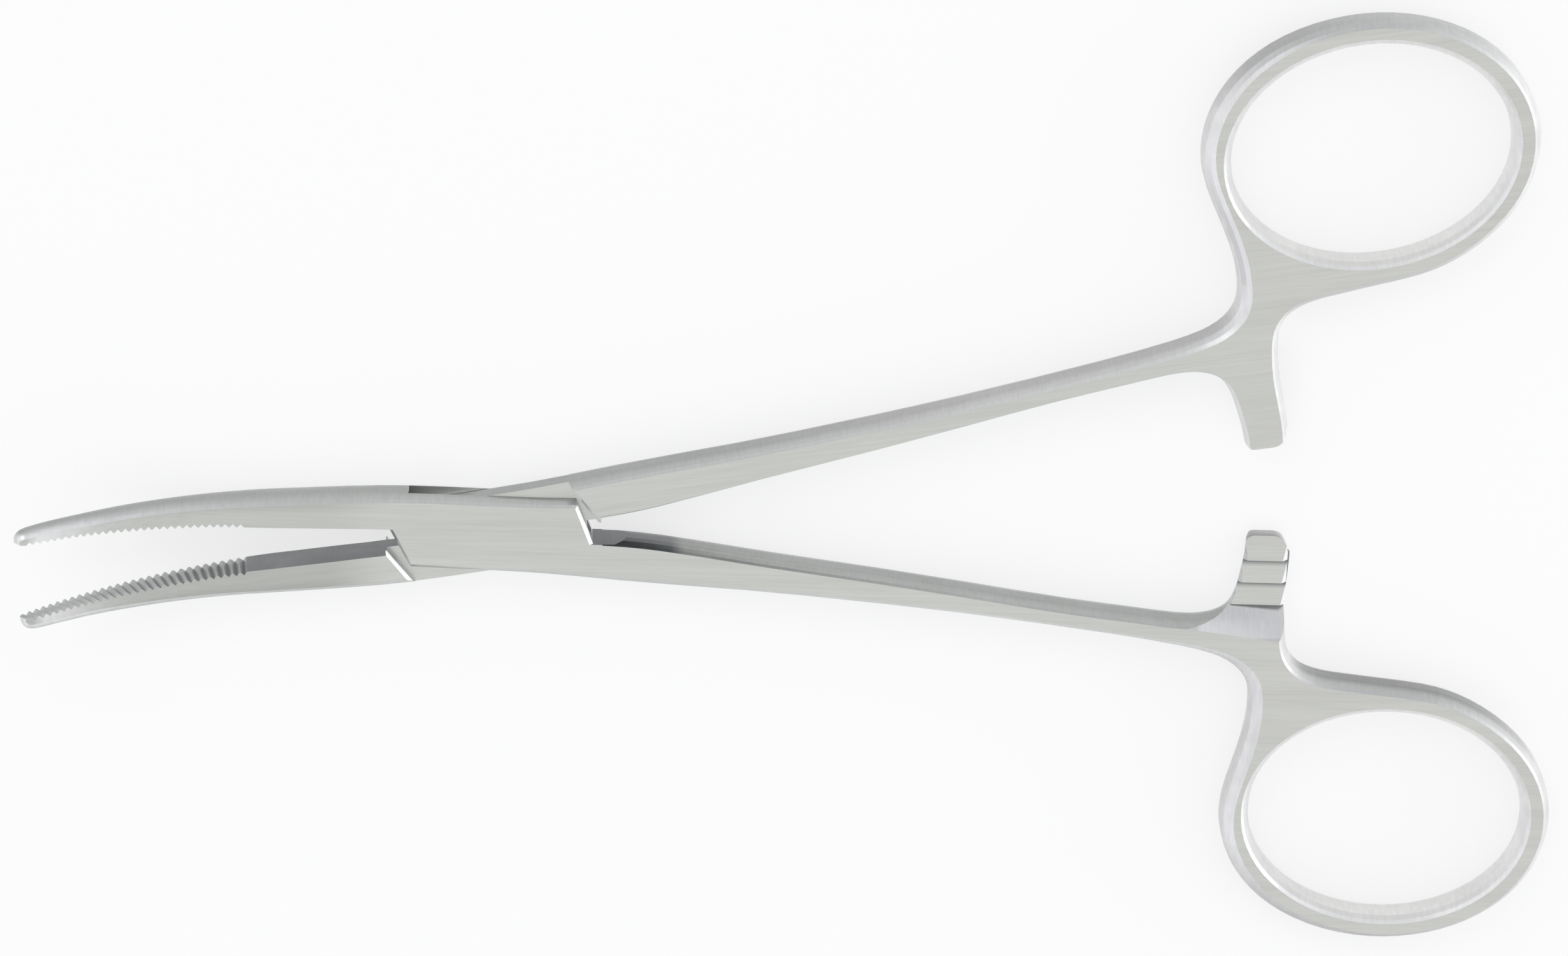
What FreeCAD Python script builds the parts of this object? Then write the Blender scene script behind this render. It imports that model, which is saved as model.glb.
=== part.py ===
# Curved artery forceps with a box lock: two forged halves and the pin they turn on.
#
# Each half is drawn in its own frame with the pivot at the origin, +X to the finger rings, +Z up out of
# the plane of the rings, and the tips of the jaws on the X axis. The tongue half has its jaw on the -Y
# side and its ring on the +Y side, and the box half is the mirror image. They are placed opened by equal
# angles about the pivot, lying on their flat side.
import FreeCAD, Part
import math
import os
import Sketcher
from FreeCAD import Placement, Rotation, Vector

SIZES = [
    # whole instrument
    ("thickness", 4.2, "thickness of box, shanks and finger rings"),
    ("open_angle", 9.4, "angle between the halves as they lie"),
    ("bulge", 0.70, "how far the rounded sides stand out from the flat faces"),
    ("bulge_neck", 1.25, "the same on the neck and the near side of the ring"),
    ("bulge_hole", 0.80, "the same in the ring's opening"),
    ("bulge_inner", 0.45, "the same on the sides that face the other half"),
    # box and pivot
    ("box_half_width", 3.65, "pivot to the outer side of the box"),
    ("box_reach", 9.9, "pivot to where jaw and shank have their own width"),
    ("tongue_thickness", 1.9, "thinned middle of the tongue half"),
    ("slide_gap", 0.05, "clearance on each face of the tongue"),
    ("tongue_radius", 8.5, "round ends of the tongue, about the pivot"),
    ("slot_gap", 0.12, "clearance round the ends of the tongue"),
    ("pin_diameter", 2.6, "pivot pin"),
    ("pin_clearance", 0.03, "radial clearance of the pin in the tongue"),
    ("shoulder_jaw", 8.45, "pivot to the shoulder at the jaw"),
    ("shoulder_shank", 8.42, "pivot to the shoulder at the shank"),
    ("shoulder_jaw_angle", 31.0, "lean of the shoulder at the jaw"),
    ("shoulder_shank_angle", 29.0, "lean of the shoulder at the shank"),
    ("cheek_jaw", 8.05, "pivot to the end of the box at the jaw"),
    ("cheek_shank", 8.2, "pivot to the end of the box at the shank"),
    ("cheek_jaw_angle", 29.0, "lean of the end of the box at the jaw"),
    ("cheek_shank_angle", 22.0, "lean of the end of the box at the shank"),
    ("clear_step", 0.5, "how far the box half is cleared past the centre line at the shank"),
    ("edge_bevel", 0.28, "bevels on the shoulders and the ends of the box"),
    # jaws
    ("jaw_root", 10.6, "pivot to the start of the jaw"),
    ("jaw_reach", 42.85, "pivot to the tip of the jaw, measured flat"),
    ("jaw_gap_root", 0.45, "mating face to centre line at the root of the jaw"),
    ("jaw_gap_tip", 0.05, "mating face to centre line at the tip"),
    ("jaw_back_root", 3.25, "thickness of the jaw at its root"),
    ("jaw_back_tip", 1.25, "thickness of the jaw behind its rounded tip"),
    ("jaw_width_tip", 1.8, "width of the jaw behind its rounded tip"),
    ("jaw_round", 0.45, "the most of the jaw's thickness that its rounded back takes"),
    ("jaw_taper", 1.2, "how late the jaw thins towards its tip"),
    ("curve_start", 20.5, "pivot to where the jaws begin to curve"),
    ("curve_radius", 38.5, "radius of the curve of the jaws"),
    ("tooth_start", 23.05, "pivot to the first serration"),
    ("tooth_pitch", 0.73, "pitch of the serrations along the curve"),
    ("tooth_depth", 0.30, "depth of the serrations"),
    ("tooth_land", 0.12, "flat crest between two serrations"),
    # shanks
    ("shank_start", 12.0, "pivot to the root of the shank"),
    ("shank_waist", 54.0, "pivot to the narrowest place of the shank"),
    ("shank_width_root", 4.2, "width of the shank at its root"),
    ("shank_width_waist", 2.2, "width of the shank at its narrowest"),
    ("shank_taper", 1.5, "how soon the shank thins towards its waist"),
    ("shank_offset", 2.3, "centre line to the middle of the shank at its root"),
    ("shank_slope", 0.0829, "slope of the middle of the shank at its root"),
    ("shank_bend", 0.000642, "outward bend of the shank"),
    # finger rings
    ("ring_reach", 82.98, "pivot to the centre of the ring along X"),
    ("ring_side", 25.32, "centre line to the centre of the ring"),
    ("ring_hole_length", 25.32, "long opening of the ring"),
    ("ring_hole_width", 19.86, "short opening of the ring"),
    ("ring_bar", 2.65, "width of the ring's bar"),
    ("ring_lean", 2.0, "lean of the ring's long axis"),
    # ratchet
    ("arm_width", 4.0, "width of the ratchet arm"),
    ("arm_tip", 1.05, "how far the arm reaches past the centre line"),
    ("arm_corner_outer", 1.4, "corner of the arm's tip beside the ring"),
    ("arm_corner_inner", 1.0, "corner of the arm's tip beside the shank"),
    ("ratchet_gap", 0.05, "tooth crests to the middle of the thickness"),
    ("ratchet_first", 2.25, "arm's tip to the first tooth"),
    ("ratchet_pitch", 2.15, "pitch of the ratchet teeth"),
    ("ratchet_teeth", 3, "number of ratchet teeth"),
    ("ratchet_depth", 0.55, "height of a ratchet tooth"),
    ("crest_bevel", 0.5, "height of the bevels at the ends of the tooth crests"),
    ("crest_slant", 0.9, "width of those bevels for each unit of their height"),
    ("ratchet_run_out", 2.6, "length of the slope behind the last tooth"),
    ("ratchet_lean", 7.0, "lean of that slope"),
]

doc = FreeCAD.newDocument("forceps")
sheet = doc.addObject("Spreadsheet::Sheet", "dims")
for row, (alias, value, meaning) in enumerate(SIZES, start=1):
    sheet.set("A%d" % row, meaning)
    sheet.set("B%d" % row, str(value))
    sheet.setAlias("B%d" % row, alias)
doc.recompute()


def size(alias):
    """Value of a named cell."""
    return float(getattr(sheet, alias))


HALF_THICK = size("thickness") / 2

# Side profile of the forging: levels as shares of the half thickness, and how sharply the rounded side
# turns in towards the flat faces.
LEVELS = (-1.0, -0.85, -0.62, -0.3, 0.3, 0.62, 0.85, 1.0)
SIDE_POWER = 2.6

# Points of an outline that share one edge of the solid.
SPAN = 3

# How far each outer point has gone from the bulge of the sides to that of the neck: three points of the
# box, five of the shank, five of the neck, then those of the ring until the bulge is the common one.
NECK_SHARE = (0, 0, 0, 0, 0, 0, 0, 0, 0.15, 0.4, 0.7, 1, 1, 1, 1, 0.9, 0.6, 0.3)

# Lengths of the straight and the curved part of the jaw between its sections, and its rounded tip: what is
# left of the tip's length, and the share of the full section there.
STRAIGHT_SPANS = 4
JAW_SPANS = 6
NOSE = ((0.5, 0.95), (0.15, 0.78), (0, 0.5))

# Angles round the ring and what its bar is thicker there than the common width.
RING_ROUND = ((196, -0.1), (175, 0.05), (150, 0.25), (125, 0.2), (100, 0), (75, -0.1), (50, -0.05), (25, 0),
              (0, 0), (-25, -0.1), (-50, -0.2), (-75, -0.1), (-92, 0))

# How far cutting shapes stand out past the metal, and the least volume that counts as a cut.
MARGIN = 1.0
SMALLEST_CUT = 0.01

# How far a slanting cut starts beside the side that it bevels.
BESIDE = 0.05

# How close to a line the two ends of an edge have to be for a bevel.
ON_LINE = 0.001


def side_inset(level):
    """Share of the bulge that the side has drawn in at a level."""
    return abs(level) ** SIDE_POWER


def loft(wires, straight):
    """Closed solid through the wires, straight or smooth between them."""
    return Part.makeLoft(wires, True, straight)


def smooth(points):
    """Smooth curve through the points, with its normals to the right of travel."""
    curve = Part.BSplineCurve()
    steps = [0.0]
    for before, after in zip(points, points[1:]):
        steps.append(steps[-1] + before.distanceToPoint(after))
    curve.interpolate(Points=points, Parameters=steps)
    normals = []
    for step in steps:
        along = curve.tangent(step)[0]
        normals.append(Vector(along.y, -along.x, 0))
    return steps, normals


def drawn_in(points, bulges, level, end_normals):
    """Edge of the outline at a level, with each point drawn in by its share of the bulge."""
    steps, normals = smooth(points)
    normals[0], normals[-1] = end_normals
    share = side_inset(level)
    lift = Vector(0, 0, level * HALF_THICK)
    moved = [p + n * (b * share) + lift for p, n, b in zip(points, normals, bulges)]
    curve = Part.BSplineCurve()
    curve.interpolate(Points=moved, Parameters=steps)
    cuts = steps[:-1:SPAN] + [steps[-1]]
    return [curve.toShape(low, high) for low, high in zip(cuts, cuts[1:])], moved[0], moved[-1]


def jaw_gap(x):
    """Centre line to the mating face of the jaw, at a distance x from the pivot."""
    share = (x - size("jaw_root")) / (size("jaw_reach") - size("jaw_root"))
    return size("jaw_gap_root") + share * (size("jaw_gap_tip") - size("jaw_gap_root"))


def shank_edge(x, side):
    """Outer (side 1) or inner (side -1) edge of the shank."""
    run = x - size("shank_start")
    middle = size("shank_offset") + size("shank_slope") * run + size("shank_bend") * run ** 2
    left = max(0.0, 1 - run / (size("shank_waist") - size("shank_start")))
    extra = (size("shank_width_root") - size("shank_width_waist")) * left ** size("shank_taper")
    return Vector(x, middle + side * (size("shank_width_waist") + extra) / 2, 0)


def ring_point(angle, out):
    """Point beside the ring's oval hole, out from it by a distance."""
    angle = math.radians(angle)
    half_long = size("ring_hole_length") / 2
    half_short = size("ring_hole_width") / 2
    on_hole = Vector(half_long * math.cos(angle), half_short * math.sin(angle), 0)
    away = Vector(half_short * math.cos(angle), half_long * math.sin(angle), 0).normalize()
    turned = Rotation(Vector(0, 0, 1), size("ring_lean")).multVec(on_hole + away * out)
    return turned + Vector(size("ring_reach"), size("ring_side"), 0)


def neck_point(right, up):
    """Point of the neck, from the lower left corner of the box round the ring's hole."""
    left = size("ring_reach") - size("ring_hole_length") / 2
    low = size("ring_side") - size("ring_hole_width") / 2
    return Vector(left + right, low + up, 0)


def outer_outline():
    """Points along box, shank, round the ring and down the outer flank of the ratchet arm."""
    reach = size("box_reach")
    width = size("box_half_width")
    start = size("shank_start")
    waist = size("shank_waist")
    shank = [shank_edge(start + (waist - start) * share, 1) for share in (0, 0.25, 0.5, 0.75, 1)]
    box = [Vector(-reach, width - 0.15, 0), Vector(0, width + 0.05, 0), Vector(reach / 2, width + 0.25, 0)]
    neck = [neck_point(-7.5, -6.05), neck_point(-4.4, -5.3), neck_point(-2.4, -4.35),
            neck_point(-1.15, -3.0), neck_point(-0.65, -0.8)]
    ring = [ring_point(angle, size("ring_bar") + extra) for angle, extra in RING_ROUND]
    throat = [neck_point(8.4, -3.1), neck_point(5.4, -3.6), neck_point(3.8, -4.35),
              neck_point(2.85, -5.5), neck_point(2.4, -7.25)]
    flank = [Vector(arm_outer(), neck_point(0, -9.8).y, 0), Vector(arm_outer(), -size("arm_tip") - MARGIN, 0)]
    return box + shank + neck + ring + throat + flank


def arm_outer():
    """Outer flank of the ratchet arm."""
    return neck_point(2.25, 0).x


def arm_inner():
    """Inner flank of the ratchet arm at its tip."""
    return arm_outer() - size("arm_width")


def inner_outline():
    """Points up the inner flank of the ratchet arm and back along the shank to the box."""
    start = size("shank_start")
    waist = size("shank_waist")
    left = arm_inner()
    bend = [Vector(left - 2.7, 6.5, 0), Vector(left - 4.7, 6.8, 0), Vector(left - 8.0, 6.55, 0)]
    shank = [shank_edge(start + (waist - start) * share, -1) for share in (1, 0.75, 0.5, 0.25, 0)]
    return arm_flank() + bend + shank + [Vector(size("box_reach"), 0.12, 0)]


def lower_outline():
    """Points along the other side of the box to the root of the jaw."""
    reach = size("box_reach")
    width = size("box_half_width")
    root = size("jaw_root")
    back = jaw_gap(root) + size("jaw_back_root")
    return [Vector(reach, -width - 0.1, 0), Vector(0, -width, 0), Vector(-reach / 2, -width - 0.1, 0),
            Vector(-root, -back, 0)]


def blank_wire(level):
    """Closed outline of box, shank, ring and arm at one level of the thickness."""
    up = Vector(0, 1, 0)
    side = Vector(1, 0, 0)
    outer = outer_outline()
    inner = inner_outline()
    lower = lower_outline()
    outer_bulges = [size("bulge") + share * (size("bulge_neck") - size("bulge")) for share in NECK_SHARE]
    outer_bulges += [size("bulge")] * (len(outer) - len(NECK_SHARE))
    inner_bulges = [size("bulge_inner")] * len(inner)
    lower_bulges = [size("bulge")] * len(lower)
    outer_edge, first, tip_outer = drawn_in(outer, outer_bulges, level, (-up, -side))
    inner_edge, tip_inner, root = drawn_in(inner, inner_bulges, level, (side, up))
    lower_edge, corner, back = drawn_in(lower, lower_bulges, level, (up, up))
    height = level * HALF_THICK
    reach = size("box_reach")
    jaw = size("jaw_root")
    gap = -jaw_gap(jaw)
    edges = outer_edge + [Part.makeLine(tip_outer, tip_inner)] + inner_edge
    edges += [Part.makeLine(root, corner)] + lower_edge
    edges += [Part.makeLine(back, Vector(-jaw, gap, height)),
              Part.makeLine(Vector(-jaw, gap, height), Vector(-reach, gap, height)),
              Part.makeLine(Vector(-reach, gap, height), first)]
    return Part.Wire(edges)


def hole_wire(level):
    """Oval opening of the ring at one level, wider at the flat faces."""
    grow = size("bulge_hole") * side_inset(level)
    centre = Vector(size("ring_reach"), size("ring_side"), level * HALF_THICK)
    turn = Rotation(Vector(0, 0, 1), size("ring_lean"))
    on_long = centre + turn.multVec(Vector(size("ring_hole_length") / 2 + grow, 0, 0))
    on_short = centre + turn.multVec(Vector(0, size("ring_hole_width") / 2 + grow, 0))
    return Part.Wire([Part.Ellipse(on_long, on_short, centre).toShape()])


def handle_blank():
    """Box, shank, finger ring and ratchet arm of a half before the lock is cut."""
    outside = loft([blank_wire(level) for level in LEVELS], True)
    return outside.cut(loft([hole_wire(level) for level in LEVELS], True))


def curve_point(x):
    """Point of the jaw's middle line, and the tilt of the line there in degrees."""
    run = x - size("curve_start")
    if run <= 0:
        return Vector(-x, 0, 0), 0.0
    turn = math.asin(run / size("curve_radius"))
    return Vector(-x, 0, size("curve_radius") * (1 - math.cos(turn))), math.degrees(turn)


def jaw_section(x, shrink):
    """Section of the jaw at a distance x from the pivot, with its flat mating face and rounded back."""
    share = (x - size("jaw_root")) / (size("jaw_reach") - size("jaw_root"))
    thinned = share ** size("jaw_taper")
    curved = max(0.0, (x - size("curve_start")) / (size("jaw_reach") - size("curve_start")))
    half_width = (HALF_THICK + curved * (size("jaw_width_tip") / 2 - HALF_THICK)) * shrink
    depth = (size("jaw_back_root") + thinned * (size("jaw_back_tip") - size("jaw_back_root"))) * shrink
    bulge = min(size("bulge"), depth * size("jaw_round"))
    near = -jaw_gap(x)
    far = near - depth
    back = [Vector(0, far + bulge * side_inset(level), level * half_width) for level in LEVELS]
    curve = Part.BSplineCurve()
    curve.interpolate(back)
    front_low = Vector(0, near, -half_width)
    front_high = Vector(0, near, half_width)
    wire = Part.Wire([Part.makeLine(front_low, back[0]), curve.toShape(), Part.makeLine(back[-1], front_high),
                      Part.makeLine(front_high, front_low)])
    middle, tilt = curve_point(x)
    wire.Placement = Placement(middle, Rotation(Vector(0, 1, 0), tilt))
    return wire


def jaw_blank():
    """Curved and tapered jaw with a rounded tip."""
    root = size("jaw_root")
    start = size("curve_start")
    reach = size("jaw_reach")
    nose = size("jaw_back_tip")
    stations = [(root + (start - root) * step / STRAIGHT_SPANS, 1.0) for step in range(STRAIGHT_SPANS)]
    for step in range(JAW_SPANS + 1):
        stations.append((start + (reach - nose - start) * step / JAW_SPANS, 1.0))
    for left, shrink in NOSE:
        stations.append((reach - nose * left, shrink))
    return loft([jaw_section(x, shrink) for x, shrink in stations], False)


def serrations():
    """Row of V grooves across the mating face, square to the curve of the jaw."""
    pitch = size("tooth_pitch")
    depth = size("tooth_depth")
    land = size("tooth_land")
    half = (pitch - land) / 2
    radius = size("curve_radius")
    first = math.asin((size("tooth_start") - size("curve_start")) / radius)
    last = math.asin((size("jaw_reach") - size("jaw_back_tip") * 0.5 - size("curve_start")) / radius)
    grooves = []
    for number in range(int((last - first) * radius / pitch) + 1):
        turn = first + number * pitch / radius
        x = size("curve_start") + radius * math.sin(turn)
        middle, tilt = curve_point(x)
        face = -jaw_gap(x)
        corners = [Vector(-half, face, 0), Vector(0, face - depth, 0), Vector(half, face, 0),
                   Vector(half, face + MARGIN, 0), Vector(-half, face + MARGIN, 0), Vector(-half, face, 0)]
        prism = Part.Face(Part.makePolygon(corners)).extrude(Vector(0, 0, 2 * size("thickness")))
        prism.translate(Vector(0, 0, -size("thickness")))
        prism.Placement = Placement(middle, Rotation(Vector(0, 1, 0), tilt)).multiply(prism.Placement)
        grooves.append(prism)
    return grooves


def arm_end():
    """Metal taken off round the corners of the arm's tip."""
    left = arm_inner()
    right = arm_outer()
    tip = -size("arm_tip")
    big = size("arm_corner_outer")
    small = size("arm_corner_inner")
    slant = 1 - math.sqrt(0.5)
    outer = [Vector(right, tip + big, 0), Vector(right - big * slant, tip + big * slant, 0),
             Vector(right - big, tip, 0)]
    inner = [Vector(left + small, tip, 0), Vector(left + small * slant, tip + small * slant, 0),
             Vector(left, tip + small, 0)]
    around = [inner[-1], Vector(left - MARGIN, tip + small, 0), Vector(left - MARGIN, tip - 2 * MARGIN, 0),
              Vector(right + MARGIN, tip - 2 * MARGIN, 0), Vector(right + MARGIN, tip + big, 0), outer[0]]
    edges = [Part.Arc(*outer).toShape(), Part.makeLine(outer[-1], inner[0]), Part.Arc(*inner).toShape()]
    outline = Part.Wire(edges + Part.makePolygon(around).Edges)
    cutter = Part.Face(outline).extrude(Vector(0, 0, 4 * HALF_THICK))
    cutter.translate(Vector(0, 0, -2 * HALF_THICK))
    return cutter


def arm_flank():
    """Points up the inner flank of the ratchet arm."""
    left = arm_inner()
    return [Vector(left, -size("arm_tip") - MARGIN, 0), Vector(left + 0.05, 0.6, 0),
            Vector(left - 0.25, 2.55, 0), Vector(left - 0.75, 4.6, 0), Vector(left - 1.45, 5.8, 0)]


def bar_along_x(profile):
    """Bar across the arm and the corner beside it, from its corners in Y and Z."""
    left = arm_inner() - size("ring_bar") - size("arm_width")
    wire = Part.makePolygon([Vector(left, y, z) for y, z in profile + profile[:1]])
    return Part.Face(wire).extrude(Vector(arm_outer() + MARGIN - left, 0, 0))


def crest_bevels(crest):
    """Metal taken off along both flanks of the toothed arm, so that the crests end in bevels."""
    low = crest - size("crest_bevel")
    high = crest + size("crest_bevel")
    outer = [Vector(arm_outer(), point.y, 0) for point in arm_flank()]
    cuts = []
    for flank, out in ((arm_flank(), -1), (outer, 1)):
        wires = []
        for height in (low, high):
            inset = (height - low) * size("crest_slant") - BESIDE
            near = [point + Vector(-out * inset, 0, height) for point in flank]
            far = [point + Vector(out * MARGIN, 0, height) for point in reversed(flank)]
            wires.append(Part.makePolygon(near + far + near[:1]))
        cuts.append(loft(wires, True))
    return cuts


def ratchet_cuts():
    """Metal taken off the upper side of the arm: the saw teeth, and the slope behind them."""
    tip = -size("arm_tip")
    crest = -size("ratchet_gap")
    floor = crest - size("ratchet_depth")
    top = HALF_THICK + MARGIN
    teeth = [(tip - MARGIN, top), (tip - MARGIN, floor), (tip, floor)]
    for number in range(int(size("ratchet_teeth"))):
        last = tip + size("ratchet_first") + number * size("ratchet_pitch")
        teeth += [(last, crest), (last, floor)]
    teeth[-1] = (last, top)
    rise = (HALF_THICK - floor) / size("ratchet_run_out")
    slope = [(last - MARGIN, floor - rise * MARGIN), (last + (top - floor) / rise, top), (last - MARGIN, top)]
    wedge = bar_along_x(slope)
    wedge.rotate(Vector((arm_inner() + arm_outer()) / 2, last, 0), Vector(0, 0, 1), size("ratchet_lean"))
    past = last + 2 * size("ratchet_run_out")
    low = floor - MARGIN
    behind = bar_along_x([(last, low), (past, low), (past, top), (last, top)])
    ahead = bar_along_x([(tip - MARGIN, low), (last, low), (last, top), (tip - MARGIN, top)])
    return [bar_along_x(teeth), wedge.common(behind)] + [cut.common(ahead) for cut in crest_bevels(crest)]


def forging(side):
    """Half before the lock is cut: side 1 is the tongue half, side -1 its mirror image, the box half."""
    solid = handle_blank().fuse(jaw_blank()).cut(serrations() + [arm_end()])
    if side > 0:
        solid = solid.cut([bar.mirror(Vector(), Vector(0, 0, 1)) for bar in ratchet_cuts()])
    else:
        solid = solid.cut(ratchet_cuts()).mirror(Vector(), Vector(0, 1, 0))
    return solid.Solids[0]


def sketch_on_middle(body, name):
    """Empty sketch on the plane through the middle of the thickness."""
    sketch = body.newObject("Sketcher::SketchObject", name)
    plane = [item for item in body.Origin.OriginFeatures if item.Role == "XY_Plane"][0]
    sketch.AttachmentSupport = [(plane, "")]
    sketch.MapMode = "FlatFace"
    return sketch


def bind(sketch, kind, words, *where):
    """Add a dimension that follows the sheet."""
    row = sketch.addConstraint(Sketcher.Constraint(kind, *where, sheet.evalExpression(words)))
    sketch.setExpression("Constraints[%d]" % row, words)


def outline_sketch(body, name, corners, radius=None):
    """Closed outline whose corners follow the sheet; a radius makes its first side an arc about the pivot."""
    sketch = sketch_on_middle(body, name)
    points = [Vector(sheet.evalExpression(x), sheet.evalExpression(y), 0) for x, y in corners]
    for number, point in enumerate(points):
        following = points[(number + 1) % len(points)]
        if radius and number == 0:
            circle = Part.Circle(Vector(), Vector(0, 0, 1), sheet.evalExpression(radius))
            start = math.atan2(point.y, point.x) % (2 * math.pi)
            end = math.atan2(following.y, following.x) % (2 * math.pi)
            sketch.addGeometry(Part.ArcOfCircle(circle, start, end))
        else:
            sketch.addGeometry(Part.LineSegment(point, following))
    for number in range(len(points)):
        sketch.addConstraint(Sketcher.Constraint("Coincident", number, 2, (number + 1) % len(points), 1))
    if radius:
        sketch.addConstraint(Sketcher.Constraint("Coincident", 0, 3, -1, 1))
        bind(sketch, "Radius", radius, 0)
    for number, (x, y) in enumerate(corners):
        if not radius or number > 1:
            bind(sketch, "DistanceX", x, -1, 1, number, 1)
        bind(sketch, "DistanceY", y, -1, 1, number, 1)
    return sketch


def circle_sketch(body, name, radius):
    """Circle about the pivot whose radius follows the sheet."""
    sketch = sketch_on_middle(body, name)
    sketch.addGeometry(Part.Circle(Vector(), Vector(0, 0, 1), sheet.evalExpression(radius)))
    sketch.addConstraint(Sketcher.Constraint("Coincident", 0, 3, -1, 1))
    bind(sketch, "Radius", radius, 0)
    return sketch


def pocket(body, name, sketch, thickness=None, level=None):
    """Cut through; or a slot in the middle of the thickness; or from a level out through one flat face."""
    before = body.Tip.Shape.Volume
    cut = body.newObject("PartDesign::Pocket", name)
    cut.Profile = sketch
    if level:
        sketch.setExpression("AttachmentOffset.Base.z", level)
        cut.Type = "ThroughAll"
        cut.Reversed = not level.startswith("-")
    elif thickness:
        cut.SideType = "Symmetric"
        cut.setExpression("Length", thickness)
    else:
        cut.SideType = "Symmetric"
        cut.Type = "ThroughAll"
    doc.recompute()
    if not cut.Shape.isValid() or cut.Shape.Volume > before - SMALLEST_CUT:
        raise RuntimeError(name + " cuts nothing")


def bevel(body, name, lines):
    """Bevel the edges of the flat faces that lie on lines given by distance and direction from the pivot."""
    base = body.Tip
    found = []
    for number, edge in enumerate(base.Shape.Edges, start=1):
        ends = [vertex.Point for vertex in edge.Vertexes]
        if abs(ends[0].z - ends[-1].z) > HALF_THICK:
            continue
        for reach, direction in lines:
            normal = Vector(math.cos(math.radians(direction)), math.sin(math.radians(direction)), 0)
            off = [abs(abs(end.z) - HALF_THICK) + abs(end.dot(normal) - reach) for end in ends]
            if max(off) < ON_LINE:
                found.append("Edge%d" % number)
    if len(found) != 2 * len(lines):
        raise RuntimeError(name + " doesn't find its edges")
    chamfer = body.newObject("PartDesign::Chamfer", name)
    chamfer.Base = (base, found)
    chamfer.setExpression("Size", "dims.edge_bevel")
    doc.recompute()


def lock_body(name, side):
    """Body that starts from the forging of one half."""
    stock = doc.addObject("Part::Feature", name + "_forging")
    stock.Shape = forging(side)
    body = doc.addObject("PartDesign::Body", name)
    body.Label = name
    body.BaseFeature = stock
    doc.recompute()
    return body


def end_line(end, y):
    """Expression for the X of a leaning end of the lock at a height Y: the jaw's end is on the -X side."""
    if end.endswith("jaw"):
        return "-(dims.%s + %s * sin(dims.%s_angle)) / cos(dims.%s_angle)" % (end, y, end, end)
    return "(dims.%s - %s * sin(dims.%s_angle)) / cos(dims.%s_angle)" % (end, y, end, end)


ABOVE = "(dims.box_half_width + 2)"
BELOW = "(-dims.box_half_width - 2)"
PAST_SHANK = "(dims.box_reach + 2)"
PAST_JAW = "(-dims.box_reach - 2)"

# The tongue half: both cheeks are milled down to the tongue, its ends are turned round about the pivot.
tongue = lock_body("tongue_half", 1)
cheek = [(end_line("shoulder_jaw", BELOW), BELOW), (end_line("shoulder_shank", BELOW), BELOW),
         (end_line("shoulder_shank", ABOVE), ABOVE), (end_line("shoulder_jaw", ABOVE), ABOVE)]
pocket(tongue, "upper_cheek", outline_sketch(tongue, "upper_cheek_plan", cheek),
       level="dims.tongue_thickness / 2")
pocket(tongue, "lower_cheek", outline_sketch(tongue, "lower_cheek_plan", cheek),
       level="-dims.tongue_thickness / 2")
arc_x = "sqrt(dims.tongue_radius ^ 2 - %s ^ 2)" % ABOVE
jaw_side = [("-" + arc_x, ABOVE), ("-dims.tongue_radius", "-dims.slide_gap"),
            (PAST_JAW, "-dims.slide_gap"), (PAST_JAW, ABOVE)]
pocket(tongue, "tongue_end_jaw",
       outline_sketch(tongue, "tongue_end_jaw_plan", jaw_side, "dims.tongue_radius"))
shank_side = [(arc_x, BELOW), ("dims.tongue_radius", "dims.slide_gap"),
              (PAST_SHANK, "dims.slide_gap"), (PAST_SHANK, BELOW)]
pocket(tongue, "tongue_end_shank",
       outline_sketch(tongue, "tongue_end_shank_plan", shank_side, "dims.tongue_radius"))
bevel(tongue, "shoulder_bevels", [(size("shoulder_jaw"), 180 + size("shoulder_jaw_angle")),
                                  (size("shoulder_shank"), size("shoulder_shank_angle"))])
running = "dims.pin_diameter / 2 + dims.pin_clearance"
pocket(tongue, "pin_bore", circle_sketch(tongue, "pin_bore_plan", running))

# The box half: its ends are milled to clear the shoulders, and the slot for the tongue goes through it.
box = lock_body("box_half", -1)
mating = "dims.jaw_gap_root"
jaw_side = [(end_line("cheek_jaw", mating), mating), (end_line("cheek_jaw", BELOW), BELOW),
            (PAST_JAW, BELOW), (PAST_JAW, mating)]
pocket(box, "box_end_jaw", outline_sketch(box, "box_end_jaw_plan", jaw_side))
step = "-dims.clear_step"
shank_side = [(end_line("cheek_shank", step), step), ("dims.shank_start - 1", step),
              ("dims.shank_start + 1.5", "0.1"), ("dims.shank_start + 1.5", ABOVE),
              (end_line("cheek_shank", ABOVE), ABOVE)]
pocket(box, "box_end_shank", outline_sketch(box, "box_end_shank_plan", shank_side))
bevel(box, "box_bevels", [(size("cheek_jaw"), 180 + size("cheek_jaw_angle")),
                          (size("cheek_shank"), size("cheek_shank_angle"))])
slot = "dims.tongue_thickness + 2 * dims.slide_gap"
pocket(box, "slot_middle", circle_sketch(box, "slot_middle_plan", "dims.tongue_radius + dims.slot_gap"), slot)
pocket(box, "slot_jaw", outline_sketch(box, "slot_jaw_plan", [
    (PAST_JAW, BELOW), ("0", BELOW), ("0", "dims.slot_gap"), (PAST_JAW, "dims.slot_gap")]), slot)
pocket(box, "slot_shank", outline_sketch(box, "slot_shank_plan", [
    ("0", "-dims.slot_gap"), (PAST_SHANK, "-dims.slot_gap"), (PAST_SHANK, ABOVE), ("0", ABOVE)]), slot)
pocket(box, "pin_seat", circle_sketch(box, "pin_seat_plan", "dims.pin_diameter / 2"))

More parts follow.
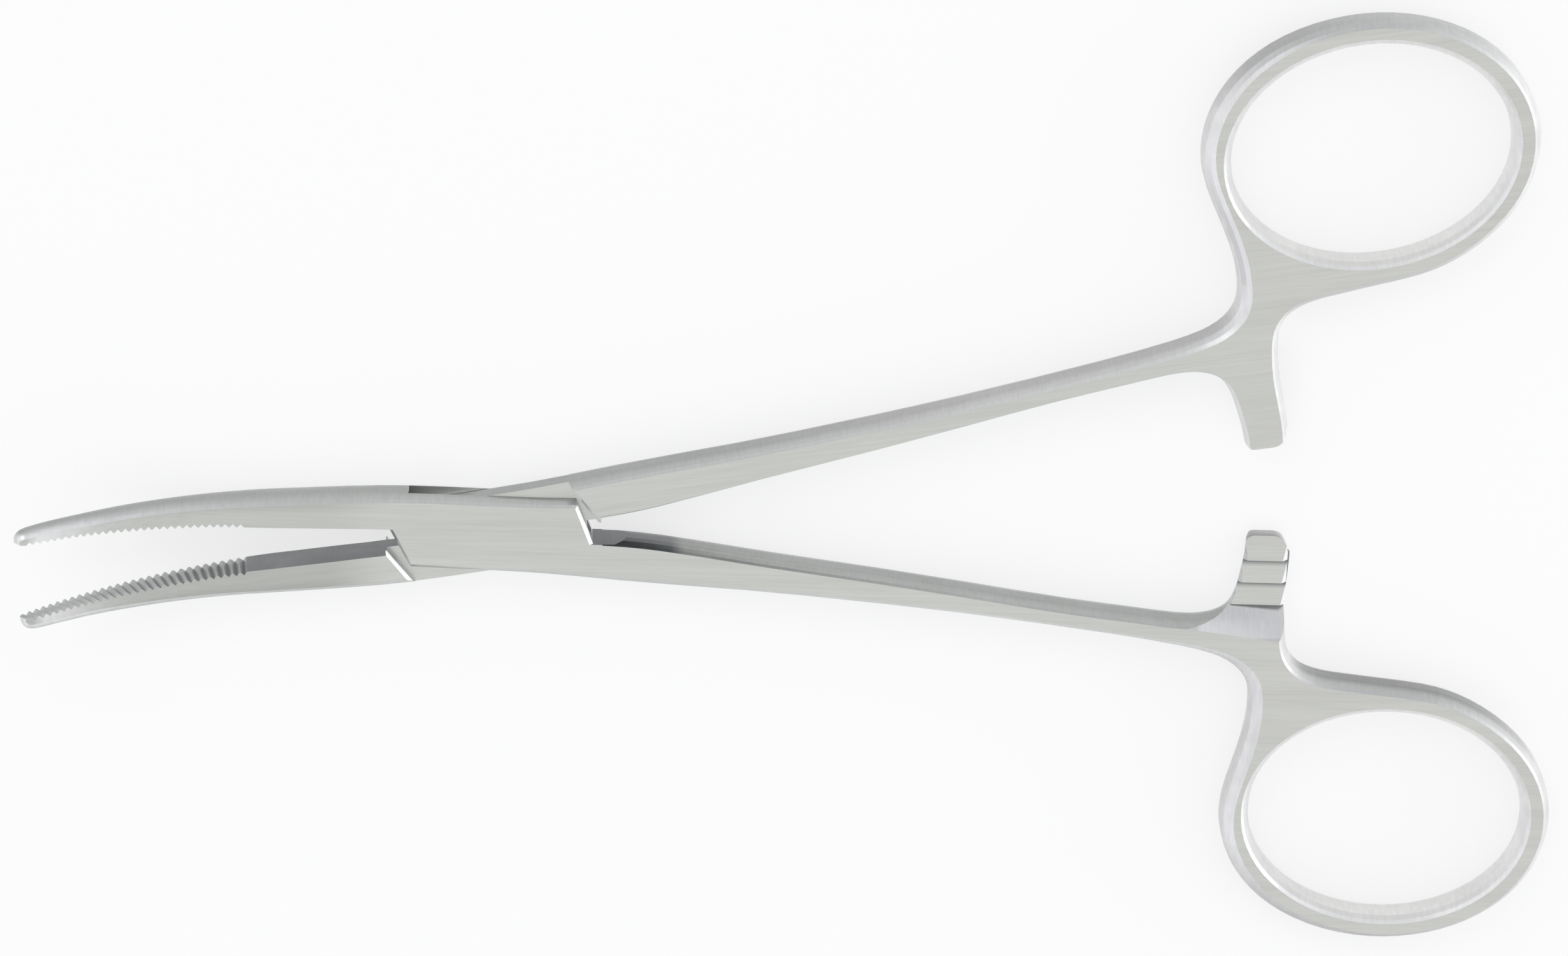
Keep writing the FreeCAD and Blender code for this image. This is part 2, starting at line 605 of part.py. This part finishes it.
# The pin, ground flush with both faces of the box.
pin = doc.addObject("PartDesign::Body", "pivot_pin")
pin.Label = "pivot_pin"
shaft = pin.newObject("PartDesign::Pad", "shaft")
shaft.Profile = circle_sketch(pin, "shaft_plan", "dims.pin_diameter / 2")
shaft.SideType = "Symmetric"
shaft.setExpression("Length", "dims.thickness")
doc.recompute()

# Each half is turned open about the pivot, and all lie on the flat underside of the box.
for body, turn in ((tongue, "dims.open_angle / 2"), (box, "-dims.open_angle / 2"), (pin, "0")):
    body.Placement = Placement(Vector(), Rotation(Vector(0, 0, 1), 1))
    body.setExpression("Placement.Rotation.Angle", turn)
    body.setExpression("Placement.Base.z", "dims.thickness / 2")
doc.recompute()

for item in doc.Objects:
    if "Invalid" in item.State or "Error" in item.State:
        raise RuntimeError(item.Name + " isn't computed")
os.makedirs("parts", exist_ok=True)
for body in (tongue, box, pin):
    if body.Shape.isNull() or not body.Shape.isValid() or len(body.Shape.Solids) != 1:
        raise RuntimeError(body.Label + " isn't one sound solid")
    body.Shape.exportStep("parts/%s.step" % body.Label)
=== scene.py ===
# Looks of curved artery forceps: satin stainless steel, lying on a plain white floor.
#
# Everything is in metres, in the part's own frame: the pivot axis is Z through the origin, +X runs to the
# finger rings, and the flat underside of the instrument lies on Z = 0. The frame of a half is the same,
# turned about the pivot, so that +X runs along the half.
import math

import bpy
from mathutils import Matrix, Vector

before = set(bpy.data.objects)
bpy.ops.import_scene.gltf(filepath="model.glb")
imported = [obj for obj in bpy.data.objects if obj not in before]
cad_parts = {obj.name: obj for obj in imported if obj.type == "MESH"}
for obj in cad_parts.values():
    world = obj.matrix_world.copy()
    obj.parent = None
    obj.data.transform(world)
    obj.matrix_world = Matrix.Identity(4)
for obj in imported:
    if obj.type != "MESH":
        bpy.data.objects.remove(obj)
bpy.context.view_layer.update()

MM = 0.001


def span(start, end):
    """Start and end of a change along a length, given in millimetres."""
    return start * MM, end * MM


# Each half lies turned about the pivot by this much.
HALF_OPENING = math.radians(4.7)

# Tones of the steel: the flats, then painted light on the brushed sides by which way they face (a painted
# highlight on the ends, painted shade on the long sides), a painted sheen on the slope behind the ratchet's
# teeth and on the inside of the rings, and painted shade for the dark reflections of the milled faces
# between the jaws and in the lock, which also gives the painted shadow at the feet of the ratchet's teeth.
FLAT_TONE = (0.645, 0.655, 0.63)
RING_TONE = (0.65, 0.655, 0.63)
END_PAINTED_HIGHLIGHT = (0.77, 0.77, 0.77)
ACROSS_SIDE_PAINTED_SHADE = (0.43, 0.44, 0.43)
SHANK_SIDE_PAINTED_SHADE = (0.52, 0.525, 0.515)
RING_SIDE_PAINTED_SHADE = (0.505, 0.51, 0.505)
SLOPE_PAINTED_SHEEN = (0.70, 0.705, 0.71)
HOLE_PAINTED_SHEEN = (0.76, 0.765, 0.75)
PAINTED_DARK_TONE = (0.20, 0.21, 0.215)

# Gloss of the steel, where it is glossiest and where it is dullest.
ROUGHNESS_RANGE = (0.29, 0.38)

# Noises: the stretch of each along the half, across it and upwards, its detail, and the range of it that
# counts for the fine and for the slow ones.
LONG_GRAIN = ((150, 5600, 5600), 4.0)
CROSS_GRAIN = ((3600, 380, 700), 4.0)
WAVES = ((16, 480, 480), 2.0)
CLOUDS = ((170, 170, 170), 3.0)
NOISE_ROUGHNESS = 0.62
FINE_RANGE = (0.25, 0.75)
SLOW_RANGE = (0.3, 0.7)

# Strength of the noises: brightness in the darkest grain, what grain and waves add to it, and the bump.
GRAIN_DARKEST = 0.925
GRAIN_ADDS = 0.09
WAVES_ADD = 0.06
BUMP_STRENGTH = 0.10
BUMP_DEPTH = 0.02 * MM

# Ways to face, as parts of the normal: upright, from a side to a flat, then across the half, from an end
# to a long side, and then towards the other half, from the outer sides to the inner ones.
SIDE_TO_FLAT = (0.80, 0.97)
END_TO_LONG_SIDE = (0.35, 0.95)
OUTER_TO_INNER = (-0.3, 0.3)

# Thickness: the height of its middle, and half of it at the tips of the jaws.
MIDDLE_HEIGHT = 2.1 * MM
JAW_HALF_TIP = 0.9 * MM

# Jaws: from root to tip, where they start to curve up and how tightly, and where the serrations start.
JAW_ROOT = 10.6 * MM
JAW_TIP = 42.8 * MM
CURVE_START = 20.5 * MM
CURVE_RADIUS = 38.5 * MM
TOOTH_START, TOOTH_FULL = span(22.7, 22.927)

# Painted shade towards the rounded backs of the jaws: the distance of the back from the centre line at the
# root and at the tip, the share of it where the painted shade starts, where along the jaw it comes in, and
# how dark it is. Then where along the jaw the painted shade of its whole flat comes in.
BACK_ROOT = 3.7 * MM
BACK_TIP = 1.3 * MM
BACK_FROM = 0.45
BACK_ALONG = span(8.48, 16.96)
BACK_PAINTED_SHADE = 0.20
JAW_FLAT_ALONG = span(9.54, 15.9)

# Painted shade on the milled faces, in place of the dark that they reflect: how far they lie from the centre
# line, where they end at the shank, how far they face the other half, which ones are crests, how much of
# that shade those lose as a painted highlight, and what is left of it at the tips.
MILLED_REACH = span(1.1, 1.43)
MILLED_END = span(16, 17.6)
MILLED_FACING = (0.30, 0.95)
CREST_FACING = (0.86, 0.97)
CREST_SHARE = 0.75
TIP_SHARE = 0.55

# Shank: where its outer side has reached its own, lighter painted shade.
SHANK_FULL = 50 * MM

# Finger ring: where it begins along the half, its centre, the half lengths of the oval midway between its
# hole and its outer side, and the share of the oval where the inside of the hole ends.
RING_ALONG = span(64, 74)
RING_CENTRE = Vector((82.98, 25.32, 0)) * MM
RING_OVAL = Vector((13.9, 11.2, 0)) * MM
HOLE_EDGE = (0.97, 1.03)

# Painted shade of the rounded sides, darker at the middle of the thickness and lighter towards the flats:
# how far off the middle it changes, as a share of half the thickness, and what it adds at the middle and at
# the flats.
ROUND_RANGE = (0.15, 0.95)
ROUND_PAINTED_SHADE = (-0.13, 0.09)

# Painted light on the rings: the painted highlight that their sides gain where they face the ring end, and
# how much more where they face across as well. Then which sides face the other ring, how much painted shade
# darkens those, and from where to where that fades off the middle of the thickness.
RING_PAINTED_HIGHLIGHT = 0.10
RING_HIGHLIGHT_ACROSS = 0.30
OTHER_RING_FACING = (0.3, 1.0)
OTHER_RING_PAINTED_SHADE = 0.28
OTHER_RING_HEIGHT = span(0.6, 1.74)
OTHER_RING_FADE = (1.3, 0.0)

# Ratchet arm: its two sides along the half and its root beside the centre line.
ARM_FROM = span(64.3, 64.943)
ARM_TO = span(73.4, 74.134)
ARM_ROOT = span(7.9, 8.137)

# Painted shadow at the feet of the ratchet's teeth: how far off the middle of the thickness its dark line
# starts and ends, how upright the faces there are, and where it comes in on the ring's side of the centre
# line.
FOOT_START = span(0.42, 0.588)
FOOT_END = span(0.66, 0.78)
FOOT_UPRIGHT = (0.93, 0.95)
FOOT_BESIDE = span(0.0, 0.6)

# Slope behind the last ratchet tooth, which gets a painted sheen: how upright it is, from and to, and how
# far it faces the other half.
SLOPE_UPRIGHT_FROM = (0.65, 0.68)
SLOPE_UPRIGHT_TO = (0.70, 0.73)
SLOPE_FACING = (0.60, 0.68)

# Each piece: its turn about the pivot, the way that the mating face of its jaw looks, and how much painted
# shade darkens the flat of its jaw and the sides of its ring. The pin is finished with the box.
TURNS_AND_PAINTED_SHADE = {
    "box_half": (-HALF_OPENING, -1, 0.07, 0.12),
    "tongue_half": (HALF_OPENING, 1, 0.20, 0.03),
    "pivot_pin": (-HALF_OPENING, -1, 0.0, 0.0),
}

# Floor: its size, how far it lies under the part, its colour, and how much of it glows for the camera and
# in reflections.
FLOOR_SIZE = 3.0
FLOOR_DROP = 0.05 * MM
FLOOR_COLOUR = (0.93, 0.93, 0.94, 1)
FLOOR_GLOW = 0.68

# Light tent: its colours low down at the ends of the part and beside it, and overhead, and the parts of
# the direction over which they change, upwards and towards the ends.
HORIZON_ENDS = (1.12, 1.12, 1.17)
HORIZON_SIDES = (0.88, 0.88, 0.91)
ZENITH = (0.87, 0.875, 0.87)
TENT_CLIMB = (0.15, 0.85)
TENT_ENDS = (0.3, 0.9)

# Softboxes: the point that they are turned to.
LIGHT_AIM = Vector((0.02, 0, 0))

# Camera: the point that it looks at, the direction to it from there, its distance, roll and lens.
VIEW_CENTRE = Vector((26.62, 3.50, 2.1)) * MM
VIEW_FROM = Vector((-0.01089, 0.34284, 0.93933))
VIEW_DISTANCE = 706.5 * MM
VIEW_ROLL = math.radians(2.54)
LENS = 178.47
SENSOR_WIDTH = 36


class Nodes:
    """Node tree with short calls for what the materials repeat."""

    def __init__(self, owner):
        owner.use_nodes = True
        self.tree = owner.node_tree
        self.tree.nodes.clear()

    def add(self, kind, **settings):
        """New node with its settings."""
        node = self.tree.nodes.new(kind)
        for key, value in settings.items():
            setattr(node, key, value)
        return node

    def feed(self, source, target):
        """Link a socket, or set a plain value."""
        if isinstance(source, bpy.types.NodeSocket):
            self.tree.links.new(source, target)
        else:
            target.default_value = source

    def maths(self, operation, *values):
        """Arithmetic on sockets or numbers."""
        node = self.add("ShaderNodeMath", operation=operation)
        for value, target in zip(values, node.inputs):
            self.feed(value, target)
        return node.outputs["Value"]

    def product(self, first, *others):
        """All values multiplied."""
        for other in others:
            first = self.maths("MULTIPLY", first, other)
        return first

    def rest(self, share):
        """What a share leaves of 1."""
        return self.maths("SUBTRACT", 1.0, share)

    def darker(self, where, share):
        """Factor that takes off a share where the mask is 1, and nothing where it is 0."""
        return self.maths("MULTIPLY_ADD", where, -share, 1.0)

    def vector(self, operation, first, second):
        """Vector arithmetic on a socket and a vector."""
        node = self.add("ShaderNodeVectorMath", operation=operation)
        self.feed(first, node.inputs[0])
        node.inputs[1].default_value = second
        return node.outputs["Vector"]

    def split(self, vector):
        """The three parts of a vector."""
        parts = self.add("ShaderNodeSeparateXYZ")
        self.feed(vector, parts.inputs["Vector"])
        return parts.outputs["X"], parts.outputs["Y"], parts.outputs["Z"]

    def ramp(self, value, low, high, start=0.0, end=1.0):
        """Smooth change from start to end while the value goes from low to high."""
        node = self.add("ShaderNodeMapRange", interpolation_type="SMOOTHSTEP")
        for name, number in (("Value", value), ("From Min", low), ("From Max", high), ("To Min", start),
                             ("To Max", end)):
            self.feed(number, node.inputs[name])
        return node.outputs["Result"]

    def ramp_straight(self, value, low, high, start, end):
        """Even change from start to end while the value goes from low to high."""
        result = self.ramp(value, low, high, start, end)
        result.node.interpolation_type = "LINEAR"
        return result

    def between(self, share, first, second):
        """Number between two sockets."""
        node = self.add("ShaderNodeMix")
        self.feed(share, node.inputs["Factor"])
        self.feed(first, node.inputs["A"])
        self.feed(second, node.inputs["B"])
        return node.outputs["Result"]

    def mix(self, share, first, second):
        """Colour between two colours or sockets."""
        node = self.add("ShaderNodeMix", data_type="RGBA")
        self.feed(share, node.inputs["Factor"])
        for colour, target in ((first, node.inputs["A"]), (second, node.inputs["B"])):
            self.feed(colour if isinstance(colour, bpy.types.NodeSocket) else tuple(colour) + (1,), target)
        return node.outputs["Result"]

    def grain(self, place, scale, detail):
        """Noise stretched by its scale along each axis."""
        stretch = self.add("ShaderNodeMapping")
        stretch.inputs["Scale"].default_value = scale
        self.feed(place, stretch.inputs["Vector"])
        noise = self.add("ShaderNodeTexNoise")
        noise.inputs["Scale"].default_value = 1.0
        noise.inputs["Detail"].default_value = detail
        noise.inputs["Roughness"].default_value = NOISE_ROUGHNESS
        self.feed(stretch.outputs["Vector"], noise.inputs["Vector"])
        return noise.outputs["Fac"]


class Surface:
    """What a material reads at a point of a half: where it is in the half's frame, and how it faces."""

    def __init__(self, nodes, turn, jaw_faces):
        coordinates = nodes.add("ShaderNodeTexCoord")
        along = nodes.add("ShaderNodeMapping")
        along.inputs["Rotation"].default_value = (0, 0, -turn)
        nodes.feed(coordinates.outputs["Object"], along.inputs["Vector"])
        self.place = along.outputs["Vector"]

        # Where: along the half to the ring and to the jaw, beside the centre line, on the ring's side of it,
        # and above and off the middle of the thickness.
        self.x, y, z = nodes.split(self.place)
        self.jawwards = nodes.maths("MULTIPLY", self.x, -1.0)
        self.beside = nodes.maths("ABSOLUTE", y)
        self.ringwards = nodes.maths("MULTIPLY", y, jaw_faces)
        self.above_middle = nodes.maths("SUBTRACT", z, MIDDLE_HEIGHT)
        self.off_middle = nodes.maths("ABSOLUTE", self.above_middle)

        # Facing: the ring end, across, up or down, and the other half.
        self.endwards, facing_y, facing_z = nodes.split(coordinates.outputs["Normal"])
        self.across = nodes.maths("ABSOLUTE", facing_y)
        self.upright = nodes.maths("ABSOLUTE", facing_z)
        self.inwards = nodes.product(facing_y, nodes.maths("SIGN", self.x), -jaw_faces)

        # Masks: the sides, the flats and the finger ring.
        self.side = nodes.ramp(self.upright, *SIDE_TO_FLAT, 1.0, 0.0)
        self.flat = nodes.rest(self.side)
        self.ring = nodes.ramp(self.x, *RING_ALONG)


def inner_faces_painted_shade(nodes, at):
    """Painted shade on the faces between the jaws and in the lock, standing for dark reflections, less a
    painted highlight on the crests of the serrations, and fading towards the tips.
    """
    near = nodes.ramp(at.beside, *MILLED_REACH, 1.0, 0.0)
    before_shank = nodes.ramp(at.x, *MILLED_END, 1.0, 0.0)
    facing = nodes.ramp(at.inwards, *MILLED_FACING)
    serrated = nodes.ramp(at.jawwards, TOOTH_START, TOOTH_FULL)
    crest = nodes.product(serrated, nodes.ramp(at.inwards, *CREST_FACING, 0.0, CREST_SHARE))
    fading = nodes.ramp(at.jawwards, TOOTH_START, JAW_TIP, 1.0, TIP_SHARE)
    return nodes.product(near, before_shank, facing, nodes.rest(crest), fading)


def jaw_back_painted_shade(nodes, at):
    """Where painted shade darkens the flat of the jaw, more towards its rounded back."""
    back = nodes.ramp_straight(at.jawwards, JAW_ROOT, JAW_TIP, BACK_ROOT, BACK_TIP)
    near_back = nodes.ramp(nodes.maths("DIVIDE", at.beside, back), BACK_FROM, 1.0)
    return nodes.product(near_back, nodes.ramp(at.jawwards, *BACK_ALONG), at.flat)


def jaw_flat(nodes, at):
    """Flat of the jaw, where the half's painted shade darkens it."""
    return nodes.product(at.flat, nodes.ramp(at.jawwards, *JAW_FLAT_ALONG))


def rounded_side_painted_shade(nodes, at, inner_face_shade):
    """Painted shade that jaws, box and shank gain or lose at their sides, by the distance from their curved
    middle.
    """
    curved = nodes.maths("MAXIMUM", nodes.maths("SUBTRACT", at.jawwards, CURVE_START), 0.0)
    square = nodes.product(curved, curved)
    steeper = nodes.maths("MULTIPLY_ADD", square, 1 / (4 * CURVE_RADIUS ** 2), 1.0)
    rise = nodes.product(square, 1 / (2 * CURVE_RADIUS), steeper)
    off_curve = nodes.maths("ABSOLUTE", nodes.maths("SUBTRACT", at.above_middle, rise))
    half_height = nodes.ramp_straight(at.jawwards, CURVE_START, JAW_TIP, MIDDLE_HEIGHT, JAW_HALF_TIP)
    gain = nodes.ramp(nodes.maths("DIVIDE", off_curve, half_height), *ROUND_RANGE, *ROUND_PAINTED_SHADE)
    return nodes.product(at.side, nodes.rest(at.ring), nodes.rest(inner_face_shade), gain)


def ring_hole(nodes, at):
    """Inside of the finger ring, which gets a painted sheen."""
    mirrored = nodes.add("ShaderNodeCombineXYZ")
    nodes.feed(at.x, mirrored.inputs["X"])
    nodes.feed(at.beside, mirrored.inputs["Y"])
    from_centre = nodes.vector("SUBTRACT", mirrored.outputs["Vector"], RING_CENTRE)
    oval = nodes.vector("MULTIPLY", from_centre, (1 / RING_OVAL.x, 1 / RING_OVAL.y, 0))
    length = nodes.add("ShaderNodeVectorMath", operation="LENGTH")
    nodes.feed(oval, length.inputs[0])
    return nodes.ramp(length.outputs["Value"], *HOLE_EDGE, 1.0, 0.0)


def ratchet_arm(nodes, at):
    """Ratchet arm of the half."""
    return nodes.product(nodes.ramp(at.x, *ARM_FROM), nodes.ramp(at.x, *ARM_TO, 1.0, 0.0),
                         nodes.ramp(at.beside, *ARM_ROOT, 1.0, 0.0))


def tooth_feet_painted_shadow(nodes, at, arm):
    """Narrow painted shadow line at the foot of each ratchet tooth."""
    return nodes.product(arm, nodes.ramp(at.off_middle, *FOOT_START),
                         nodes.ramp(at.off_middle, *FOOT_END, 1.0, 0.0),
                         nodes.ramp(at.upright, *FOOT_UPRIGHT),
                         nodes.ramp(at.ringwards, *FOOT_BESIDE))


def ratchet_slope(nodes, at, arm):
    """Slope behind the last ratchet tooth, where the tone is a painted sheen."""
    return nodes.product(arm, nodes.ramp(at.upright, *SLOPE_UPRIGHT_FROM),
                         nodes.ramp(at.upright, *SLOPE_UPRIGHT_TO, 1.0, 0.0),
                         nodes.ramp(at.inwards, *SLOPE_FACING))


def ring_painted_light(nodes, at, hole, slope, ring_painted_shade):
    """Painted light on a ring's outer side: painted highlight where it faces the ring end, less the half's
    painted shade, and painted shade where it faces the other ring.
    """
    outside = nodes.product(at.ring, at.side, nodes.rest(hole))
    gain = nodes.product(at.endwards, nodes.maths("MULTIPLY_ADD", at.across, RING_HIGHLIGHT_ACROSS, RING_PAINTED_HIGHLIGHT))
    brighter = nodes.product(nodes.maths("SUBTRACT", gain, ring_painted_shade), outside)
    to_other_ring = nodes.product(outside, nodes.ramp(at.inwards, *OTHER_RING_FACING),
                                  nodes.ramp(at.off_middle, *OTHER_RING_HEIGHT, *OTHER_RING_FADE),
                                  nodes.rest(slope))
    return nodes.product(nodes.maths("ADD", brighter, 1.0), nodes.darker(to_other_ring, OTHER_RING_PAINTED_SHADE))


def steel_tone_and_painted_light(nodes, at, hole, slope, dark):
    """Tone of the steel by where it is: the flats, then painted highlight and painted shade on the sides,
    painted sheen on the slope and inside the rings, and the painted shade of the dark faces over them.
    """
    flat = nodes.mix(at.ring, FLAT_TONE, RING_TONE)
    outer = nodes.ramp(at.inwards, *OUTER_TO_INNER, 1.0, 0.0)
    along_shank = nodes.ramp(at.x, MILLED_END[1], SHANK_FULL)
    # Painted shade on the long sides, lighter along the shank's outer side.
    shank_side = nodes.mix(nodes.product(outer, along_shank), ACROSS_SIDE_PAINTED_SHADE, SHANK_SIDE_PAINTED_SHADE)
    # Painted shade on the ring's sides, and a painted sheen inside its hole.
    long_side = nodes.mix(hole, nodes.mix(at.ring, shank_side, RING_SIDE_PAINTED_SHADE), HOLE_PAINTED_SHEEN)
    # A painted highlight on the sides that face the ends.
    side = nodes.mix(nodes.ramp(at.across, *END_TO_LONG_SIDE), END_PAINTED_HIGHLIGHT, long_side)
    # Painted sheen on the slope behind the last ratchet tooth.
    satin = nodes.mix(slope, nodes.mix(at.side, flat, side), SLOPE_PAINTED_SHEEN)
    # Painted shade over the dark faces and at the feet of the ratchet's teeth.
    return nodes.mix(dark, satin, PAINTED_DARK_TONE)


def brushing(nodes, at, long_grain, cross_grain):
    """Brightness of the grain, along the flats and across the sides, with slow waves in it."""
    grain = nodes.between(at.side, nodes.ramp(long_grain, *FINE_RANGE), nodes.ramp(cross_grain, *FINE_RANGE))
    waves = nodes.ramp(nodes.grain(at.place, *WAVES), *SLOW_RANGE, 0.0, WAVES_ADD)
    return nodes.maths("ADD", nodes.maths("MULTIPLY_ADD", grain, GRAIN_ADDS, GRAIN_DARKEST), waves)


def satin_steel_and_painted_light(name, turn, jaw_faces, jaw_painted_shade, ring_painted_shade):
    """Satin stainless steel whose grain runs along a half that is turned about the pivot, with painted light
    and shade in its colour.

    The mating face of the half's jaw looks to +Y (1) or -Y (-1). The flat of the jaw and the sides of the
    ring are darker than the rest by painted shade, in the shares that the last two arguments give.
    """
    material = bpy.data.materials.new(name)
    nodes = Nodes(material)
    output = nodes.add("ShaderNodeOutputMaterial")
    shader = nodes.add("ShaderNodeBsdfPrincipled")
    nodes.feed(shader.outputs["BSDF"], output.inputs["Surface"])
    shader.inputs["Metallic"].default_value = 1.0

    at = Surface(nodes, turn, jaw_faces)
    inner_face_shade = inner_faces_painted_shade(nodes, at)
    hole = ring_hole(nodes, at)
    arm = ratchet_arm(nodes, at)
    slope = ratchet_slope(nodes, at, arm)
    # Painted shade of the dark faces, and the painted shadow at the feet of the ratchet's teeth.
    dark = nodes.maths("MAXIMUM", inner_face_shade, tooth_feet_painted_shadow(nodes, at, arm))
    long_grain = nodes.grain(at.place, *LONG_GRAIN)
    cross_grain = nodes.grain(at.place, *CROSS_GRAIN)

    # Grain, times the painted shade of the jaws' backs and flats, the painted light on the rings, and the
    # painted shade of the rounded sides.
    shade = nodes.product(brushing(nodes, at, long_grain, cross_grain),
                          nodes.darker(jaw_back_painted_shade(nodes, at), BACK_PAINTED_SHADE),
                          nodes.darker(jaw_flat(nodes, at), jaw_painted_shade),
                          ring_painted_light(nodes, at, hole, slope, ring_painted_shade),
                          nodes.maths("ADD", rounded_side_painted_shade(nodes, at, inner_face_shade), 1.0))
    tinted = nodes.add("ShaderNodeVectorMath", operation="SCALE")
    nodes.feed(steel_tone_and_painted_light(nodes, at, hole, slope, dark), tinted.inputs["Vector"])
    nodes.feed(shade, tinted.inputs["Scale"])
    nodes.feed(tinted.outputs["Vector"], shader.inputs["Base Color"])
    clouds = nodes.grain(at.place, *CLOUDS)
    nodes.feed(nodes.ramp(clouds, *SLOW_RANGE, *ROUGHNESS_RANGE), shader.inputs["Roughness"])

    bump = nodes.add("ShaderNodeBump")
    bump.inputs["Strength"].default_value = BUMP_STRENGTH
    bump.inputs["Distance"].default_value = BUMP_DEPTH
    nodes.feed(nodes.between(at.side, long_grain, cross_grain), bump.inputs["Height"])
    nodes.feed(bump.outputs["Normal"], shader.inputs["Normal"])
    return material


def white_floor():
    """White floor that camera and reflections see brighter, and that keeps the shadow."""
    bpy.ops.object.select_all(action="DESELECT")
    bpy.ops.mesh.primitive_plane_add(size=FLOOR_SIZE, location=(0, 0, -FLOOR_DROP))
    floor = bpy.context.object
    floor.name = "floor"
    material = bpy.data.materials.new("white_floor")
    nodes = Nodes(material)
    output = nodes.add("ShaderNodeOutputMaterial")
    matt = nodes.add("ShaderNodeBsdfDiffuse")
    matt.inputs["Color"].default_value = FLOOR_COLOUR
    glow = nodes.add("ShaderNodeEmission")
    glow.inputs["Color"].default_value = (1, 1, 1, 1)
    glow.inputs["Strength"].default_value = 1.0
    path = nodes.add("ShaderNodeLightPath")
    seen = nodes.maths("ADD", path.outputs["Is Camera Ray"], path.outputs["Is Glossy Ray"])
    seen = nodes.maths("MINIMUM", nodes.maths("ADD", seen, path.outputs["Is Transmission Ray"]), 1.0)
    blend = nodes.add("ShaderNodeMixShader")
    nodes.feed(nodes.product(seen, FLOOR_GLOW), blend.inputs["Fac"])
    nodes.feed(matt.outputs["BSDF"], blend.inputs[1])
    nodes.feed(glow.outputs["Emission"], blend.inputs[2])
    nodes.feed(blend.outputs["Shader"], output.inputs["Surface"])
    floor.data.materials.append(material)
    return floor


def softbox(name, place, width, height, watts):
    """Rectangular studio light at a place, turned to the part."""
    data = bpy.data.lights.new(name, "AREA")
    data.shape = "RECTANGLE"
    data.size = width
    data.size_y = height
    data.energy = watts
    light = bpy.data.objects.new(name, data)
    bpy.context.scene.collection.objects.link(light)
    light.location = place
    light.rotation_euler = (LIGHT_AIM - Vector(place)).to_track_quat("-Z", "Y").to_euler()


def light_tent():
    """Pale light from all round: brighter low down at the ends of the part, dimmer beside it."""
    world = bpy.data.worlds.new("light_tent")
    bpy.context.scene.world = world
    nodes = Nodes(world)
    output = nodes.add("ShaderNodeOutputWorld")
    tent = nodes.add("ShaderNodeBackground")
    tent.inputs["Strength"].default_value = 1.0
    direction = nodes.add("ShaderNodeTexCoord")
    x, y, z = nodes.split(direction.outputs["Generated"])
    climb = nodes.ramp(z, *TENT_CLIMB)
    ends = nodes.ramp(nodes.maths("ABSOLUTE", x), *TENT_ENDS)
    nodes.feed(nodes.mix(climb, nodes.mix(ends, HORIZON_SIDES, HORIZON_ENDS), ZENITH), tent.inputs["Color"])
    nodes.feed(tent.outputs["Background"], output.inputs["Surface"])


def place_camera():
    """Camera that looks down on the instrument from a little in front of it, through a long lens."""
    data = bpy.data.cameras.new("camera")
    data.lens = LENS
    data.sensor_width = SENSOR_WIDTH
    camera = bpy.data.objects.new("camera", data)
    bpy.context.scene.collection.objects.link(camera)
    back = VIEW_FROM.normalized()
    up_hint = Vector((math.sin(VIEW_ROLL), math.cos(VIEW_ROLL), 0))
    right = up_hint.cross(back).normalized()
    up = back.cross(right)
    turned = Matrix((right, up, back)).transposed().to_4x4()
    camera.matrix_world = Matrix.Translation(VIEW_CENTRE + back * VIEW_DISTANCE) @ turned
    bpy.context.scene.camera = camera


for node, turn_and_shade in TURNS_AND_PAINTED_SHADE.items():
    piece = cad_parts[node]
    piece.data.materials.clear()
    piece.data.materials.append(satin_steel_and_painted_light("satin_" + node, *turn_and_shade))

floor = white_floor()

# Light: a bright low softbox on the side of the rings, a weak key, and a light tent round it all.
softbox("ring_side_softbox", place=(1.1, -0.16, 0.20), width=1.1, height=0.40, watts=3.2)
softbox("key_softbox", place=(-0.35, 0.75, 0.75), width=0.6, height=0.6, watts=1.2)
light_tent()

place_camera()
bpy.context.scene.view_settings.view_transform = "Standard"
